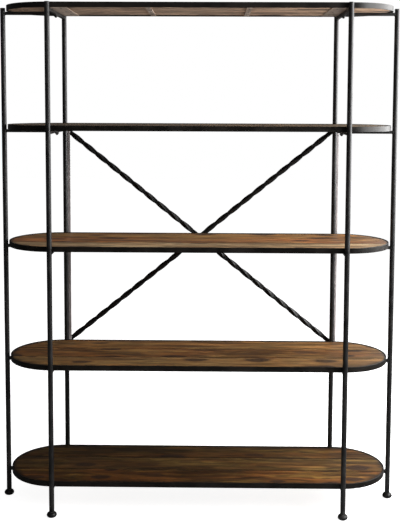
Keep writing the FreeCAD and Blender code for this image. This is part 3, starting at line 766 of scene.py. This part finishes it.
def cross_recess_screw(length):
    """Pan-head wood screw pointing up, its head below z = 0, with a crossed recess."""
    sides = 24
    head = [(SCREW_HEAD_RADIUS * share, -SCREW_HEAD_HEIGHT * drop)
            for share, drop in ((0.62, 1.0), (0.84, 0.86), (0.97, 0.5), (1.0, 0.15), (0.98, 0.0))]
    shank = [(SCREW_SHANK_RADIUS, 0.0), (SCREW_SHANK_RADIUS, length - 2 * SCREW_SHANK_RADIUS),
             (SCREW_TIP_RADIUS, length)]
    points, faces = turned(head + shank, sides)
    faces.remove(tuple(reversed(range(sides))))
    mouth = len(points)
    for step in range(sides):
        on_arm = step % 6 in (0, 1, 5)
        radius = SCREW_HEAD_RADIUS * (0.5 if on_arm else 0.22)
        angle = 2 * math.pi * step / sides
        points.append(Vector((radius * math.cos(angle), radius * math.sin(angle), -SCREW_HEAD_HEIGHT)))
    floor = len(points)
    for step in range(sides):
        points.append(points[mouth + step] * 0.75)
        points[-1].z = -SCREW_RECESS_FLOOR
    for step in range(sides):
        after = (step + 1) % sides
        faces.append((after, step, mouth + step, mouth + after))
        faces.append((mouth + after, mouth + step, floor + step, floor + after))
    faces.append(tuple(floor + step for step in reversed(range(sides))))
    return points, faces


def make_screws():
    """Wood screws through the straps and plates of every shelf, their heads turned at random."""
    chance = random.Random("wood screws")
    screws = []
    for spot, length in screw_spots("plank_screws"):
        turn = Matrix.Rotation(chance.uniform(0, math.pi), 4, "Z")
        screws.append(moved(cross_recess_screw(length), Matrix.Translation(spot) @ turn))
    piece("cross_head_screws", joined(screws), STEEL, "frame", ["plank_screws"],
          sharp_angle=35)


def screw_spots(node):
    """Seat and reach above it of each upright screw in a CAD group, from the loose pieces of its mesh."""
    screws = {}
    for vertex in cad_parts[node].data.vertices:
        key = (round(vertex.co.x / SCREW_CELL_ACROSS), round(vertex.co.y / SCREW_CELL_ACROSS),
               round(vertex.co.z / SCREW_CELL_UP))
        screws.setdefault(key, []).append(vertex.co)
    spots = []
    for _, corners in sorted(screws.items()):
        x = (min(c.x for c in corners) + max(c.x for c in corners)) / 2
        y = (min(c.y for c in corners) + max(c.y for c in corners)) / 2
        bottom, top = min(c.z for c in corners), max(c.z for c in corners)
        seat = bottom + SCREW_HEAD_HEIGHT
        spots.append((Vector((x, y, seat)), top - seat))
    return spots


# Feet


def foot_outline(node):
    """(radius, height) corners of a foot's turned outline, from its base to the top of its stud."""
    centre = middle_of(node)
    rings = {}
    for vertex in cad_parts[node].data.vertices:
        height = round(vertex.co.z, 5)
        radius = math.hypot(vertex.co.x - centre.x, vertex.co.y - centre.y)
        rings[height] = max(rings.get(height, 0.0), radius)
    return [(radius, height) for height, radius in sorted(rings.items())]


def threaded_stud(bottom, top):
    """A stud about Z with a cut thread and a chamfered top."""
    sides, levels_per_turn = 24, 8
    levels = round((top - bottom) / STUD_PITCH * levels_per_turn)
    rings = []
    for level in range(levels + 1):
        height = bottom + (top - bottom) * level / levels
        ring = []
        for step in range(sides):
            turn = (height / STUD_PITCH - step / sides) % 1.0
            cut = STUD_THREAD_DEPTH * min(1.0, 1.4 * abs(2 * turn - 1))
            radius = STUD_RADIUS - max(cut, STUD_CHAMFER - (top - height))
            angle = 2 * math.pi * step / sides
            ring.append(Vector((radius * math.cos(angle), radius * math.sin(angle), height)))
        rings.append(ring)
    return skin(rings)


def make_foot(node):
    """Turned foot on a threaded stud. It rides on its own body, so that it can be screwed in and out."""
    centre = middle_of(node)
    outline = foot_outline(node)
    top = outline[-1][1]
    lower = [(radius, height) for radius, height in outline if radius > STUD_RADIUS + STUD_OVERLAP]
    shape = joined([turned(lower, 56), threaded_stud(lower[-1][1] - STUD_OVERLAP, top)])
    place = Matrix.Translation((centre.x, centre.y, 0))
    piece(f"{node}_on_stud", moved(shape, place), FOOT_IRON, node, [node], sharp_angle=35)


# Studio


def make_camera():
    """The photograph's viewpoint: a little right of the middle, looking slightly down."""
    data = bpy.data.cameras.new("camera")
    data.sensor_width = 36.0
    data.lens = 63.11
    data.shift_y = -0.1643
    camera = bpy.data.objects.new("camera", data)
    pitch, yaw, roll = math.radians(4.794), math.radians(-0.6812), math.radians(0.215)
    turn = Matrix.Rotation(-yaw, 4, "Z") @ Matrix.Rotation(math.pi / 2 - pitch, 4, "X")
    turn = turn @ Matrix.Rotation(roll, 4, "Z")
    camera.matrix_world = Matrix.Translation((0.046, -3.5049, 1.5666)) @ turn
    bpy.context.scene.collection.objects.link(camera)
    bpy.context.scene.camera = camera


def make_floor():
    """Plain pale floor. It glows a little more away from the part, so that it ends in white all round."""
    half = 14.0
    corners = [(-half, -half, 0), (half, -half, 0), (half, half, 0), (-half, half, 0)]
    mesh = bpy.data.meshes.new("floor")
    mesh.from_pydata(corners, [], [(0, 1, 2, 3)])
    material, tree, shader = new_material(
        "pale_floor", Roughness=0.9, Specular_IOR_Level=0.1, Emission_Strength=1.0)
    away = add(tree, "VectorMath", {0: add(tree, "TexCoord").outputs["Object"]}, operation="LENGTH")
    path = add(tree, "LightPath")
    seen_glow = ramped(tree, away.outputs["Value"], 0.3, 1.4, 0.9, 1.0)
    glow = tinted(tree, path.outputs["Is Camera Ray"], (0.15, 0.15, 0.15, 1), seen_glow)
    # In reflections the floor is dark, so that the lower posts stay as black as in the photograph.
    mirrored = path.outputs["Is Glossy Ray"]
    glow = tinted(tree, mirrored, glow, (0.02, 0.02, 0.02, 1))
    tone = tinted(tree, mirrored, (0.82, 0.82, 0.82, 1), (0.1, 0.1, 0.1, 1))
    tree.links.new(glow, shader.inputs["Emission Color"])
    tree.links.new(tone, shader.inputs["Base Color"])
    mesh.materials.append(material)
    floor = bpy.data.objects.new("floor", mesh)
    floor.location.z = cad_box[0].z
    bpy.context.scene.collection.objects.link(floor)


def add_softbox(name, place, target, size, power):
    """A rectangular light at place, turned to target, unseen by the camera."""
    data = bpy.data.lights.new(name, "AREA")
    data.shape = "RECTANGLE"
    data.size, data.size_y = size
    data.energy = power
    light = bpy.data.objects.new(name, data)
    light.location = place
    light.visible_camera = False
    light.rotation_euler = (Vector(target) - Vector(place)).to_track_quat("-Z", "Y").to_euler()
    bpy.context.scene.collection.objects.link(light)


def make_world():
    """White surroundings: full white to the camera, softer as a light."""
    world = bpy.data.worlds.new("white_room")
    world.use_nodes = True
    tree = world.node_tree
    tree.nodes.clear()
    path = add(tree, "LightPath")
    strength = ramped(tree, path.outputs["Is Camera Ray"], 0.0, 1.0, 0.05, 1.0)
    shade = add(tree, "Background", {"Color": (1, 1, 1, 1), "Strength": strength})
    out = add(tree, "OutputWorld")
    tree.links.new(shade.outputs[0], out.inputs["Surface"])
    bpy.context.scene.world = world


def make_studio():
    """Camera, floor, surroundings, and a large window light from the right with two weak fills."""
    make_camera()
    make_floor()
    make_world()
    add_softbox("window_softbox", (2.2, -0.2, 1.85), (0, -0.1, 1.3), (3.4, 1.7), 185)
    add_softbox("rear_softbox", (1.75, 2.2, 1.6), (0.4, 0, 1.0), (1.4, 1.4), 9)
    add_softbox("front_softbox", (-0.6, -4.0, 4.2), (0, 0, 0.9), (2.0, 2.0), 13)
    bpy.context.scene.view_settings.view_transform = "Standard"


def coat_nodes():
    """Finish of every CAD node that stays in view."""
    slot_finish = {"iron": IRON, "fasteners": FASTENER_IRON, "bright_steel": STEEL, "feet": FOOT_IRON}
    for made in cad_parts.values():
        for slot in made.material_slots:
            slot.material = slot_finish.get(slot.material.name, IRON)
    for shelf in SHELVES:
        coat(f"shelf_{shelf}_straps", STRAP_IRON_AND_PAINTED_REFLECTION)
    for node in BRACE_BARS:
        coat(node, BRACE_IRON)
    for node in BRACE_UPRIGHTS:
        coat(node, UPRIGHT_IRON_PAINTED_HIGHLIGHT)


coat_nodes()
for shelf in SHELVES:
    make_rim(shelf)
    for row, (tone, stain_and_shade) in zip(ROWS, BOARD_TONES[shelf]):
        make_board(shelf, row, tone, stain_and_shade)
    make_welds(shelf)
make_screws()
for node in FOOT_NAMES:
    make_foot(node)
for shelf in SHELVES:
    ease_edges(f"shelf_{shelf}_straps", STRAP_EDGE)
    for side_name, _ in SIDES:
        ease_edges(f"{side_name}_cross_bar_{shelf}", BAR_EDGE)
for node in ("end_bars",) + BRACE_UPRIGHTS + BRACE_BARS:
    ease_edges(node, BAR_EDGE)
for node in ("shelf_bolts", "brace_bolts"):
    ease_edges(node, BOLT_EDGE)
make_studio()
